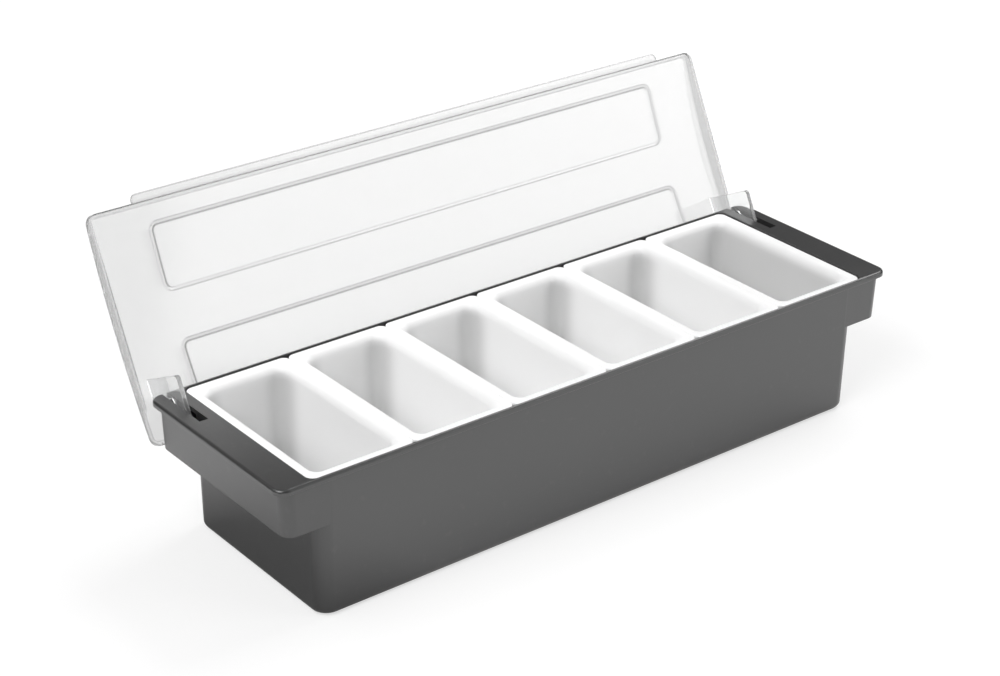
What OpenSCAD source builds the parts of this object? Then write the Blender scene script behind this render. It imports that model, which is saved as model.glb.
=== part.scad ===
// Countertop condiment caddy: an open tub with two hollow end wings, six lift-out inserts
// and one clear domed lid on two gooseneck hinge arms. The lid is drawn leaning fully open.
// Millimetres, +Z up, origin at the centre of the underside, +X to the right, front at -Y.

/* [Base] */
// Length of the top plate, end to end
plate_l = 500; // [490:1:540]
// Width of the top plate, front to back
plate_w = 146; // [146:1:170]
// Width of the plate at each end, beside the recess of the inserts
plate_end = 23; // [23:0.5:34]
// Height of the top plate above the table
base_h = 99; // [96:1:130]
// Thickness of the wing plates
plate_t = 3; // [2:0.5:3.5]
// Depth of the lip round the edge of the plate
lip_h = 4; // [3.5:0.5:6]
// Corner radius of the plate seen from above
plate_corner_r = 8; // [6:1:14]
// How far the lip stands out past the wing skirts at each end
lip_end = 4.2; // [3:0.1:6]
// How far the lip stands out past the long walls
lip_side = 1.4; // [1:0.1:3]
// How far each skirt stands out from the end wall of the tub
wing_out = 23.6; // [22:0.2:26]
// Height of the wing skirts below the top of the plate
wing_drop = 34.5; // [30:0.5:50]
// Lean of the skirt ends over their height
wing_draft = 1.2; // [0:0.1:2]
// Corner radius of the wing skirts
wing_corner_r = 8; // [5:0.5:12]
// Wall thickness of the tub and its skirts
wall = 2.2; // [1.8:0.1:2.4]
// Thickness of the tub floor
floor_t = 3; // [2:0.5:6]
// Corner radius of the tub seen from above
tub_corner_r = 10; // [6:1:16]
// Radius of the edge round the underside
foot_r = 5; // [3:0.5:8]
// Lean of each long wall over the height of the base
side_draft = 1.6; // [0:0.1:2.5]
// Lean of each end wall over the height of the base
end_draft = 0.6; // [0:0.1:1.5]
// Thickness of the seat ledge under the insert rims
ledge_t = 3; // [2:0.5:5]
// Width of the ledge that the rims lie on
ledge_w = 4.9; // [3:0.1:5.5]

/* [Inserts] */
// Length of one insert over its rim, front to back
rim_w = 140; // [134:0.2:140.4]
// Depth of the rim
rim_h = 3; // [2:0.5:4]
// Corner radius of the rim
rim_corner_r = 5; // [3:0.5:8]
// Gap between two neighbouring rims
rim_gap = 0.3; // [0.2:0.1:1]
// Gap between the rims and the edge of their recess
recess_gap = 0.8; // [0.5:0.1:1.2]
// How far the rims lie below the top of the plate
rim_sink = 1; // [0:0.1:2]
// Width of the rim along the long sides of an insert
rim_side = 8.3; // [8.2:0.1:12]
// Width of the rim along the short sides of an insert
rim_end = 8; // [7:0.1:15]
// Radius of the mouth of an insert
mouth_r = 4; // [2:0.5:6]
// Depth of an insert over all
insert_h = 80; // [60:1:84]
// Wall thickness of an insert
insert_t = 1.6; // [1.2:0.1:2]
// Corner radius of an insert's cavity under the mouth
cavity_corner_r = 10; // [8:0.5:14]
// Lean of an insert's walls over its depth
insert_draft = 2.8; // [1:0.1:5]
// Radius between the walls and the bottom of an insert
bottom_r = 6; // [3:1:10]

/* [Lid] */
// How far the lid stands out past the plate at the front and at the back
lid_over = 1.5; // [0.5:0.1:3]
// How far each end of the lid stays inside the end of the plate
lid_inset = 0.5; // [0.2:0.1:3]
// How far the open lid reaches below the top of the plate, along its slope
lid_drop = 38; // [36:0.5:39]
// Thickness of the lid
lid_t = 2.2; // [1.8:0.1:3]
// Corner radius of the lid seen from above
lid_corner_r = 6; // [4:0.5:12]
// Inside depth of the lid at its front and back edges
lid_edge = 3; // [3:0.1:6]
// Rise of the dome from those edges to its middle
dome_rise = 4.8; // [3:0.1:9]
// How far the grip stands out in front of the lid
grip_out = 5.5; // [4:0.5:12]
// Thickness of the grip
grip_t = 2; // [1.5:0.1:2.5]
// How far the grip stops short of each end of the lid
grip_in = 32.2; // [10:0.2:60]
// Corner radius of the grip
grip_corner_r = 4; // [2:0.5:4]
// How far the raised panels stop short of each end of the lid
panel_in = 42.5; // [30:0.5:80]
// Width of each raised panel
panel_w = 43; // [30:0.5:50]
// Distance from the front or back edge of the lid to the nearer panel
panel_edge = 15; // [10:0.5:18]
// Height of the raised panels
panel_rise = 0.8; // [0.4:0.1:1.2]
// Corner radius of the raised panels
panel_corner_r = 5; // [2:0.5:10]

/* [Hinge] */
// Angle that the open lid leans back past upright
lid_lean = 26.7; // [20:0.1:30]
// Clearance between the back edge of the open lid and the back wall
lid_clear = 0.4; // [0.3:0.1:2]
// Height of the closed lid above the plate
lid_gap = 0.3; // [0.2:0.1:0.6]
// Distance from the end of the plate to the middle of each hinge arm
arm_in = 12.3; // [11.8:0.1:13]
// Thickness of each hinge arm
arm_t = 3; // [2:0.1:3.4]
// Width of each hinge arm's band
arm_band = 13.5; // [12:0.5:13.5]
// Distance from the back edge of the lid to each hinge arm
arm_rear = 28; // [26:0.5:29]
// Reach of each hinge arm in front of the open lid
arm_reach = 35.5; // [34:0.5:36]
// Corner radius of each hinge arm
arm_corner_r = 3; // [1:0.5:5]
// Radius of the eye at the end of each hinge arm
eye_r = 5.5; // [4.5:0.1:5.8]
// Diameter of each hinge pin
pin_d = 4; // [3:0.1:5]
// Length of each hinge pin
pin_l = 9.5; // [8.5:0.1:10]
// Clearance round the pin in the arm's eye
pin_run = 0.06; // [0.03:0.01:0.1]
// Clearance round the pin in the ribs that hold it
pin_hold = 0.03; // [0.01:0.01:0.06]
// Gap between a hinge arm and the rib on each side of it
rib_gap = 0.8; // [0.4:0.1:1]
// Thickness of the inner rib
rib_t = 2.8; // [2:0.1:3.4]
// Width of the slot that each arm passes through
slot_w = 6; // [5:0.1:7]
// Clearance in front of each arm as it swings up through its slot
slot_ahead = 2.4; // [1:0.1:8]
// Clearance under each arm where it crosses the back lip
slot_under = 0.4; // [0.3:0.1:1.5]

/* [Hidden] */
insert_count = 6;
$fn = 64;
corner_fn = 32;            // segments of the corners in tapered shells
eps = 0.01;                // thickness of a slice in a hull
over = 1;                  // how far a cut runs past a face
arc_steps = 8;             // straight steps in a rounded corner of an outline

// base
wing_l = plate_l - 2 * lip_end;               // over the skirts
tub_l = wing_l - 2 * wing_out;                // over the end walls
tub_w = plate_w - 2 * lip_side;               // over the long walls
lip_z = base_h - lip_h;
rim_top = base_h - rim_sink;
seat_z = rim_top - rim_h;
ledge_z = seat_z - ledge_t;
wing_z = base_h - wing_drop;
recess_l = plate_l - 2 * plate_end;
pitch = (recess_l - 2 * recess_gap + rim_gap) / insert_count;
rim_l = pitch - rim_gap;                      // width of one insert over its rim
recess_w = rim_w + 2 * recess_gap;
ledge_in_w = recess_w - 2 * ledge_w;

// lid, in its own frame: c runs from the pivot end to the grip, w up from its free edges
lid_l = plate_l - 2 * lid_inset;
lid_w = plate_w + 2 * lid_over;
lid_rear = -lid_drop;
lid_mid = lid_w / 2 - lid_drop;               // middle of the lid, along c
dome_r = (pow(lid_w / 2, 2) + pow(dome_rise, 2)) / (2 * dome_rise);
dome_top = lid_edge + dome_rise;
lid_open = lid_l - 2 * lid_corner_r + 2;      // the back edge has no rim between the corners
grip_l = lid_l - 2 * grip_in;
panel_l = lid_l - 2 * panel_in;
panel_mid = lid_w / 2 - panel_edge - panel_w / 2;

// hinge: the axis about which the open lid turns on to the plate
rear_z = base_h - lid_drop * cos(lid_lean) - lid_edge * sin(lid_lean);
open_y = tub_w / 2 - side_in(rear_z) + lid_clear + lid_drop * sin(lid_lean) - lid_edge * cos(lid_lean);
hinge_c = ((1 + sin(lid_lean)) * (lid_mid - open_y) + cos(lid_lean) * lid_gap) / (2 + 2 * sin(lid_lean));
hinge_w = (cos(lid_lean) * (lid_mid - open_y) - (1 + sin(lid_lean)) * lid_gap) / (2 + 2 * sin(lid_lean));
hinge_y = lid_mid - hinge_c;
hinge_z = base_h + lid_gap + hinge_w;
arm_x = plate_l / 2 - arm_in;
arm_back = lid_rear + arm_rear;               // rear edge of the arm's bar, along c
arm_front = arm_back + arm_band;
arm_r = norm([arm_front - arm_corner_r - hinge_c, arm_corner_r - arm_reach - hinge_w]) + arm_corner_r;
slot_y = hinge_y - sqrt(pow(arm_r, 2) - pow(base_h - plate_t - hinge_z, 2)) - slot_ahead;
lip_cross_w = (plate_w / 2 - open_y - arm_back * sin(lid_lean)) / cos(lid_lean);
slot_z = base_h + arm_back * cos(lid_lean) - lip_cross_w * sin(lid_lean) - slot_under;
edge_clear = 0.3;                             // between the lid and the edge it swings round
swing_r = norm([plate_w / 2 - hinge_y, base_h - hinge_z]) + edge_clear;
glue_gap = 0.05;
wing_step = 0.1;                              // step from the long walls in to the skirts
rib_inner = arm_x - arm_t / 2 - rib_gap - rib_t;
rib_outer = arm_x + arm_t / 2 + rib_gap;
rib_y = hinge_y - eye_r;
rib_z = hinge_z - eye_r - over;
pin_x = rib_inner + 0.1;

function side_in(z) = side_draft * (1 - z / base_h);
function end_in(z) = end_draft * (1 - z / base_h);
function wing_in(z) = wing_draft * (base_h - z) / wing_drop;

// a rounded rectangle made of true arcs
module plan(l, w, r) {
    square([l - 2 * r, w], center = true);
    square([l, w - 2 * r], center = true);
    for (x = [-1, 1], y = [-1, 1])
        translate([x * (l / 2 - r), y * (w / 2 - r)]) circle(r);
}

module block(l, w, r, z0, z1) {
    translate([0, 0, z0]) linear_extrude(z1 - z0) plan(l, w, r);
}

// a thin slice for the hulls, its corners in a few segments
module slice(l, w, r, z) {
    translate([0, 0, z]) linear_extrude(eps) plan(l, w, r, $fn = corner_fn);
}

// outer shape of the tub, with its leaning walls and rounded foot, drawn in by the wall t
module tub_form(t, z0, z1) {
    hull() {
        for (a = [0, 45, 90]) {
            z = z0 + (foot_r - t) * (1 - sin(a));
            cut = 2 * ((foot_r - t) * (1 - cos(a)) + t);
            slice(tub_l - 2 * end_in(z) - cut, tub_w - 2 * side_in(z) - cut, tub_corner_r - t, z);
        }
        slice(tub_l - 2 * end_in(z1) - 2 * t, tub_w - 2 * side_in(z1) - 2 * t, tub_corner_r - t, z1 - eps);
    }
}

// the two wings as one block, drawn in by t; its long faces lie a hair behind those of the tub
module wing_form(t, z0, z1) {
    hull() for (z = [z0, z1 - eps])
        slice(wing_l - 2 * wing_in(z) - 2 * t, tub_w - 2 * (side_in(z) + wing_step + t), wing_corner_r - t, z);
}

// the hollow under the wings, lower beside the recess of the inserts
module wing_hollow() {
    riser = recess_l / 2 + wall;
    difference() {
        wing_form(wall, wing_z - over, base_h - plate_t);
        translate([-riser, -plate_w, ledge_z]) cube([2 * riser, 2 * plate_w, base_h]);
    }
}

// places a child at the right-hand hinge, and its mirror image at the left
module at_side(side) {
    if (side > 0) children();
    else mirror([1, 0, 0]) children();
}

module pin_ribs() {
    end_in_x = wing_l / 2 - wall - wing_in(rib_z);
    rear = tub_w / 2 - side_in(rib_z) - wall;
    for (x = [[rib_inner, rib_t], [rib_outer, end_in_x + over - rib_outer]])
        translate([x[0], rib_y, rib_z])
            cube([x[1], rear + over - rib_y, base_h - plate_t + over / 2 - rib_z]);
}

module pin_hole() {
    translate([rib_inner - over, hinge_y, hinge_z]) rotate([0, 90, 0])
        cylinder(r = pin_d / 2 + pin_hold, h = pin_x + pin_l + over - rib_inner + pin_hold);
}

module slot() {
    translate([arm_x - slot_w / 2, slot_y, slot_z])
        cube([slot_w, plate_w / 2 + over - slot_y, base_h + over - slot_z]);
}

module base_tub() {
    color("#4a4a4a")
    difference() {
        union() {
            difference() {
                union() {
                    wing_form(0, wing_z, lip_z + over / 2);
                    block(plate_l, plate_w, plate_corner_r, lip_z, base_h);
                }
                wing_hollow();
            }
            tub_form(0, 0, lip_z + over / 2);
            for (side = [-1, 1]) at_side(side) pin_ribs();
        }
        tub_form(wall, floor_t, ledge_z);
        block(tub_l - 2 * wall, ledge_in_w, tub_corner_r - wall, ledge_z - over, seat_z + over);
        block(recess_l, recess_w, rim_corner_r + recess_gap, seat_z, base_h + over);
        for (side = [-1, 1]) at_side(side) {
            slot();
            pin_hole();
        }
    }
}

// the slices of an insert at a height z above its bottom, grown by t
module insert_slice(t, z) {
    lean = insert_draft * (1 - z / insert_h);
    slice(rim_l - 2 * rim_side - 2 * lean + 2 * t, rim_w - 2 * rim_end - 2 * lean + 2 * t,
        cavity_corner_r - lean + t, z);
}

// walls and rounded bottom, from z0 up to z1, grown by t
module insert_form(t, z0, z1) {
    hull() {
        for (a = [0, 30, 60, 90])
            insert_slice(t - (bottom_r + t) * (1 - cos(a)), z0 + (bottom_r + t) * (1 - sin(a)));
        insert_slice(t, z1 - eps);
    }
}

// the rounded mouth, as three rings of a quarter circle
module mouth() {
    steps = 3;
    for (i = [0:steps - 1])
        hull() for (a = [90 * i / steps, 90 * (i + 1) / steps])
            insert_slice(mouth_r * (1 - cos(a)), insert_h - mouth_r + mouth_r * sin(a));
}

module insert(number) {
    color("white")
    translate([(number - (insert_count + 1) / 2) * pitch, 0, rim_top - insert_h])
    difference() {
        union() {
            insert_form(insert_t, 0, insert_h - rim_h + over);
            block(rim_l, rim_w, rim_corner_r, insert_h - rim_h, insert_h);
        }
        insert_form(0, insert_t, insert_h);
        mouth();
    }
}

// the lid's own frame, with the lid leaning open
module in_lid_frame() {
    translate([0, open_y, base_h]) rotate([90 + lid_lean, 0, 180]) children();
}

// the domed surface at a height t above the inside of the lid
module dome(t) {
    translate([0, lid_mid, dome_top - dome_r]) rotate([0, 90, 0])
        cylinder(r = dome_r + t, h = plate_l + 2 * over, center = true, $fn = 720);
}

module at_mid() {
    translate([0, lid_mid, 0]) children();
}

module panels(t) {
    deep = dome_top + lid_t + panel_rise + over;
    at_mid() for (side = [-1, 1])
        translate([0, side * panel_mid, 0])
            block(panel_l - 2 * t, panel_w - 2 * t, panel_corner_r - t, 0, deep);
}

module lid() {
    deep = dome_top + lid_t + over;
    color([0.9, 0.93, 0.95, 0.45])
    in_lid_frame()
    difference() {
        union() {
            intersection() {
                at_mid() block(lid_l, lid_w, lid_corner_r, 0, deep);
                dome(lid_t);
            }
            intersection() {
                panels(0);
                dome(lid_t + panel_rise);
            }
            translate([0, lid_rear + lid_w + grip_out - grip_corner_r - lid_t, 0])
                block(grip_l, 2 * (grip_corner_r + lid_t), grip_corner_r, 0, grip_t);
        }
        intersection() {
            union() {
                at_mid() block(lid_l - 2 * lid_t, lid_w - 2 * lid_t, lid_corner_r - lid_t, -over, deep);
                translate([-lid_open / 2, lid_rear - over, -over]) cube([lid_open, lid_w / 2, deep + over]);
            }
            dome(0);
        }
        intersection() {
            panels(lid_t / 2);
            dome(panel_rise);
        }
        translate([0, hinge_c, hinge_w]) rotate([0, 90, 0])
            cylinder(r = swing_r, h = plate_l + 2 * over, center = true, $fn = 128);
    }
}

function arc(mid, r, from, to) =
    [for (i = [0:arc_steps]) let (a = from + (to - from) * i / arc_steps) mid + r * [cos(a), sin(a)]];

// outline of a hinge arm in the lid's frame: a bar from the lid, a leg and a strap back to the eye
module arm_plan() {
    leg_r = arm_band / 2;
    inner_w = arm_band - arm_reach;
    polygon(concat(
        [[arm_back, dome_top + over], [arm_front, dome_top + over]],
        arc([arm_front - arm_corner_r, arm_corner_r - arm_reach], arm_corner_r, 0, -90),
        arc([hinge_c + eye_r / 4, leg_r - arm_reach], leg_r, -90, -180),
        arc([hinge_c, hinge_w], eye_r, 180, 0),
        [[hinge_c + eye_r, inner_w]],
        arc([arm_back - arm_corner_r, inner_w + arm_corner_r], arm_corner_r, -90, 0)
    ));
}

module hinge_arm(side) {
    color([0.9, 0.93, 0.95, 0.6])
    in_lid_frame()
    difference() {
        intersection() {
            translate([-side * arm_x - arm_t / 2, 0, 0]) rotate([90, 0, 90])
                linear_extrude(arm_t) arm_plan();
            dome(-glue_gap);
        }
        translate([-side * arm_x, hinge_c, hinge_w]) rotate([0, 90, 0])
            cylinder(r = pin_d / 2 + pin_run, h = arm_t + 2 * over, center = true);
    }
}

module hinge_pin(side) {
    color("silver")
    at_side(side) translate([pin_x, hinge_y, hinge_z]) rotate([0, 90, 0])
        cylinder(d = pin_d, h = pin_l);
}

base_tub();
lid();
hinge_arm(-1);  // hinge_arm_left
hinge_arm(1);  // hinge_arm_right
hinge_pin(-1);  // hinge_pin_left
hinge_pin(1);  // hinge_pin_right
for (i = [1:insert_count])
    insert(i);
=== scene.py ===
import math

import bpy
import numpy as np
from mathutils import Matrix, Vector


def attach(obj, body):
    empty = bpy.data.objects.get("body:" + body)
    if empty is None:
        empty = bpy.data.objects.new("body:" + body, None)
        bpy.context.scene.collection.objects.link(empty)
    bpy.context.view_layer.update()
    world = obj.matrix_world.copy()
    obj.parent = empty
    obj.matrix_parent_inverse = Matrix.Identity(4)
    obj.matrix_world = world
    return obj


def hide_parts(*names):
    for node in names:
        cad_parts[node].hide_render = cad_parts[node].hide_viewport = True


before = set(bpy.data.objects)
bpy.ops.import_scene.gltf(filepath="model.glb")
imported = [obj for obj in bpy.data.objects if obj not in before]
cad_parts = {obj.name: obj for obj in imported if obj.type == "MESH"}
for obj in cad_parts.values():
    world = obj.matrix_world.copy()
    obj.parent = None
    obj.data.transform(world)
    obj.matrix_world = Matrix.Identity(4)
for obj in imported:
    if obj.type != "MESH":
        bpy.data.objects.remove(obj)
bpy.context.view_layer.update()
mm = 0.001
print("frame loaded:", len(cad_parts), "nodes")


# straight steps in each kind of curve
roundSteps = {
    "barTop": 3, "small": 3, "recess": 4, "lip": 6, "roll": 6, "bottom": 8, "lidCorner": 8, "arc": 10,
    "corner": 12, "mouth": 12, "eye": 16, "bore": 48,
}


# a rounded rectangle with half sizes a, b and corner radius r, as rings at the heights z:
# x = sx (a - r) + r cos t - e sin t,  y = sy (b - r) + r sin t + e cos t, with t running once round
# and e the distance along the straight sides, from the ends of each corner to the given stops
def roundedRings(a, b, r, z, stops=()):
    a, b, r, z = np.broadcast_arrays(*[np.atleast_1d(np.asarray(v, float)) for v in (a, b, r, z)])
    ahead = np.array(stops, float)
    quarter = np.linspace(0, math.pi / 2, roundSteps["corner"] + 1)
    turn = np.concatenate([0 * ahead, quarter, 0 * ahead + math.pi / 2])
    e = np.tile(np.concatenate([-ahead[::-1], 0 * quarter, ahead]), 4)
    t = np.concatenate([turn + k * math.pi / 2 for k in range(4)])
    sx = np.repeat([1, -1, -1, 1], len(turn))
    sy = np.repeat([1, 1, -1, -1], len(turn))
    x = sx * (a - r)[:, None] + r[:, None] * np.cos(t) - e * np.sin(t)
    y = sy * (b - r)[:, None] + r[:, None] * np.sin(t) + e * np.cos(t)
    return np.stack([x, y, np.repeat(z[:, None], len(t), 1)], 2)


# quads between neighbouring rows of a grid of points, each row closed on itself when wrap is set
def gridFaces(rows, columns, wrap):
    i = np.arange(rows - 1)[:, None]
    j = np.arange(columns if wrap else columns - 1)[None, :]
    k = (j + 1) % columns
    quads = [i * columns + j, i * columns + k, (i + 1) * columns + k, (i + 1) * columns + j]
    return np.stack(np.broadcast_arrays(*quads), 2).reshape(-1, 4)


# an object from points in millimetres and lists of their numbers, one list a face
def newPiece(name, points, faces, material=None):
    mesh = bpy.data.meshes.new(name)
    mesh.from_pydata((np.asarray(points).reshape(-1, 3) * mm).tolist(), [], faces)
    mesh.validate()
    piece = bpy.data.objects.new(name, mesh)
    bpy.context.scene.collection.objects.link(piece)
    if material:
        mesh.materials.append(material)
    return piece


# rings joined into a closed solid, with a flat cap on the first and on the last ring
def loftSolid(name, rings):
    rows, columns = rings.shape[:2]
    faces = gridFaces(rows, columns, True).tolist()
    faces.append(list(range(columns))[::-1])
    faces.append(list(range((rows - 1) * columns, rows * columns)))
    return newPiece(name, rings, faces)


# a box between two corners: low + (high - low) of the unit box
def boxSolid(name, low, high):
    low, high = np.array(low, float), np.array(high, float)
    corners = np.array([[x, y, z] for z in (0, 1) for x, y in ((0, 0), (1, 0), (1, 1), (0, 1))])
    faces = [[3, 2, 1, 0], [4, 5, 6, 7]] + [[i, (i + 1) % 4, (i + 1) % 4 + 4, i + 4] for i in range(4)]
    return newPiece(name, low + corners * (high - low), faces)


# joins or cuts target with each of the others, which are used up
def carve(target, others, operation):
    for other in others:
        cut = target.modifiers.new("carve", "BOOLEAN")
        cut.object = other
        cut.operation = operation
        cut.solver = "MANIFOLD"
        graph = bpy.context.evaluated_depsgraph_get()
        result = bpy.data.meshes.new_from_object(target.evaluated_get(graph))
        target.modifiers.remove(cut)
        old = target.data
        target.data = result
        bpy.data.meshes.remove(old)
        bpy.data.objects.remove(other)
    return target


# one material, and smooth shading up to the given angle, with corners weighted by face area
def finishPiece(piece, angle, material):
    mesh = piece.data
    mesh.materials.clear()
    mesh.materials.append(material)
    mesh.polygons.foreach_set("use_smooth", np.ones(len(mesh.polygons), bool))
    mesh.set_sharp_from_angle(angle=math.radians(angle))
    normals = piece.modifiers.new("normals", "WEIGHTED_NORMAL")
    normals.keep_sharp = True
    return piece


# the piece's vertices in millimetres
def vertexPoints(piece):
    points = np.empty(len(piece.data.vertices) * 3, np.float32)
    piece.data.vertices.foreach_get("co", points)
    return points.reshape(-1, 3).astype(float) / mm


# one value a vertex, held between 0 and 1
def writeAttribute(piece, name, values):
    attribute = piece.data.attributes.new(name, "FLOAT", "POINT")
    attribute.data.foreach_set("value", np.clip(values, 0, 1).astype(np.float32))


# a quarter turn of radius r seen in section: (inward, down) = r (1 - cos t, 1 - sin t)
def quarterRound(r, steps):
    t = np.linspace(0, math.pi / 2, steps + 1)
    return r * (1 - np.cos(t)), r * (1 - np.sin(t))


# a shader node with its sockets or settings given by name
def node(tree, kind, place, **values):
    n = tree.nodes.new(kind)
    n.location = place
    for key, value in values.items():
        if key in n.inputs:
            n.inputs[key].default_value = value
        else:
            setattr(n, key, value)
    return n


mould = {"speckScale": 140.0, "speckFrom": 0.62, "speckTo": 0.78, "patchFrom": 0.3, "patchTo": 0.7}


# moulded surface: fine grain for bump, soft cloudy patches for colour and roughness, and specks
# where a noise lies past a threshold, (noise - from) / (to - from)
def buildMouldGroup(s):
    tree = bpy.data.node_groups.new("mouldSurface", "ShaderNodeTree")
    for name in ("Grain Scale", "Patch Scale"):
        tree.interface.new_socket(name, in_out="INPUT", socket_type="NodeSocketFloat")
    for name in ("Grain", "Patches", "Specks"):
        tree.interface.new_socket(name, in_out="OUTPUT", socket_type="NodeSocketFloat")
    inside = node(tree, "NodeGroupInput", (-700, 0))
    outside = node(tree, "NodeGroupOutput", (300, 0))
    place = node(tree, "ShaderNodeTexCoord", (-700, 200))
    grain = node(tree, "ShaderNodeTexNoise", (-400, 250), Detail=3.0, Roughness=0.6)
    patches = node(tree, "ShaderNodeTexNoise", (-400, 0), Detail=4.0, Roughness=0.55)
    specks = node(tree, "ShaderNodeTexNoise", (-400, -250), Scale=s["speckScale"], Detail=2.0)
    spread = node(tree, "ShaderNodeMapRange", (-100, -250))
    spread.inputs["From Min"].default_value = s["speckFrom"]
    spread.inputs["From Max"].default_value = s["speckTo"]
    link = tree.links.new
    for texture in (grain, patches, specks):
        link(place.outputs["Object"], texture.inputs["Vector"])
    link(inside.outputs["Grain Scale"], grain.inputs["Scale"])
    link(inside.outputs["Patch Scale"], patches.inputs["Scale"])
    link(specks.outputs["Fac"], spread.inputs["Value"])
    link(grain.outputs["Fac"], outside.inputs["Grain"])
    link(patches.outputs["Fac"], outside.inputs["Patches"])
    link(spread.outputs["Result"], outside.inputs["Specks"])
    return tree


mouldGroup = buildMouldGroup(mould)


# a material with one Principled shader, wired to its output
def newMaterial(name):
    material = bpy.data.materials.new(name)
    material.use_nodes = True
    tree = material.node_tree
    tree.nodes.clear()
    shader = node(tree, "ShaderNodeBsdfPrincipled", (300, 0))
    output = node(tree, "ShaderNodeOutputMaterial", (900, 0))
    tree.links.new(shader.outputs[0], output.inputs["Surface"])
    return material, tree, shader, output


# low + (high - low) * factor, for colours
def mixColour(tree, place, factor, low, high):
    mix = node(tree, "ShaderNodeMix", place, data_type="RGBA")
    mix.inputs["A"].default_value = (*low, 1)
    mix.inputs["B"].default_value = (*high, 1)
    tree.links.new(factor, mix.inputs["Factor"])
    return mix


# low + (high - low) * (value - from) / (to - from), held between low and high
def mapValue(tree, place, value, low, high, fromLow=0.0, fromHigh=1.0):
    ranged = node(tree, "ShaderNodeMapRange", place)
    ranged.inputs["From Min"].default_value = fromLow
    ranged.inputs["From Max"].default_value = fromHigh
    ranged.inputs["To Min"].default_value = low
    ranged.inputs["To Max"].default_value = high
    tree.links.new(value, ranged.inputs["Value"])
    return ranged


# the moulded surface with a look's own scales, and a roughness that follows one of its outputs:
# smooth + (rough - smooth) * (output - from) / (to - from)
def addSurface(tree, place, look, output="Patches", low=mould["patchFrom"], high=mould["patchTo"]):
    surface = node(tree, "ShaderNodeGroup", place, node_tree=mouldGroup)
    surface.inputs["Grain Scale"].default_value = look["grainScale"]
    surface.inputs["Patch Scale"].default_value = look["patchScale"]
    rough = mapValue(tree, (-200, -50), surface.outputs[output], look["smooth"], look["rough"], low, high)
    return surface, rough


# a moulded plastic: patches move colour and roughness a little, grain gives the bump; where a look
# has a "behind" colour, the painted shade attribute blends that colour in as painted shade
def mouldedPlastic(name, look):
    material, tree, shader, _ = newMaterial(name)
    surface, rough = addSurface(tree, (-500, 0), look)
    colour = mixColour(tree, (-200, 200), surface.outputs["Patches"], look["dark"], look["light"])
    speckled = mixColour(tree, (0, 200), surface.outputs["Specks"], (0, 0, 0), look["speck"])
    tree.links.new(colour.outputs["Result"], speckled.inputs["A"])
    bump = node(tree, "ShaderNodeBump", (0, -300), Strength=look["bump"], Distance=look["bumpDepth"])
    tree.links.new(surface.outputs["Grain"], bump.inputs["Height"])
    # painted shade: the walls are darkened towards the "behind" colour where the attribute is high
    if "behind" in look:
        paintedShade = node(tree, "ShaderNodeAttribute", (0, 400), attribute_name="paintedShade")
        paintedShadeMix = mixColour(tree, (150, 300), paintedShade.outputs["Fac"], (0, 0, 0), look["behind"])
        tree.links.new(speckled.outputs["Result"], paintedShadeMix.inputs["A"])
        speckled = paintedShadeMix
    tree.links.new(speckled.outputs["Result"], shader.inputs["Base Color"])
    tree.links.new(rough.outputs["Result"], shader.inputs["Roughness"])
    tree.links.new(bump.outputs["Normal"], shader.inputs["Normal"])
    shader.inputs["IOR"].default_value = look["ior"]
    shader.inputs["Specular IOR Level"].default_value = look["specular"]
    shader.inputs["Subsurface Weight"].default_value = look.get("subsurface", 0)
    shader.inputs["Subsurface Radius"].default_value = (1, 1, 1)
    shader.inputs["Subsurface Scale"].default_value = look.get("subsurfaceDepth", 0.001)
    return material


basePlasticLook = {
    "dark": (0.022, 0.022, 0.022), "light": (0.028, 0.028, 0.028), "speck": (0.034, 0.034, 0.034),
    "smooth": 0.30, "rough": 0.36, "grainScale": 1400.0, "patchScale": 7.0,
    "bump": 0.12, "bumpDepth": 0.0001, "ior": 1.5, "specular": 0.9,
}
insertPlasticLook = {
    "dark": (0.925, 0.925, 0.925), "light": (0.935, 0.935, 0.935), "speck": (0.93, 0.93, 0.93),
    "smooth": 0.38, "rough": 0.46, "grainScale": 700.0, "patchScale": 12.0,
    "bump": 0.06, "bumpDepth": 0.0001, "ior": 1.49, "specular": 0.45,
    # painted shade: the "behind" colour darkens the inserts' walls and back corners
    "behind": (0.58, 0.58, 0.58), "subsurface": 0.25, "subsurfaceDepth": 0.001,
}
basePlastic = mouldedPlastic("basePlastic", basePlasticLook)
insertPlastic = mouldedPlastic("insertPlastic", insertPlasticLook)

# the "edge" colours of the clear plastics are painted shade, greying rims, panel walls and arm edges
lidPlasticLook = {
    "clear": (0.68, 0.68, 0.68), "edge": (0.15, 0.15, 0.15), "smooth": 0.09, "rough": 0.13, "haze": 0.16,
    "ior": 1.49, "lampPass": 0.96, "patchScale": 14.0, "grainScale": 500.0,
}
armPlasticLook = {
    "clear": (0.80, 0.805, 0.805), "edge": (0.50, 0.50, 0.50), "smooth": 0.04, "rough": 0.10, "haze": 0.12,
    "ior": 1.49, "lampPass": 0.96, "patchScale": 30.0, "grainScale": 500.0,
}
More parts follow.
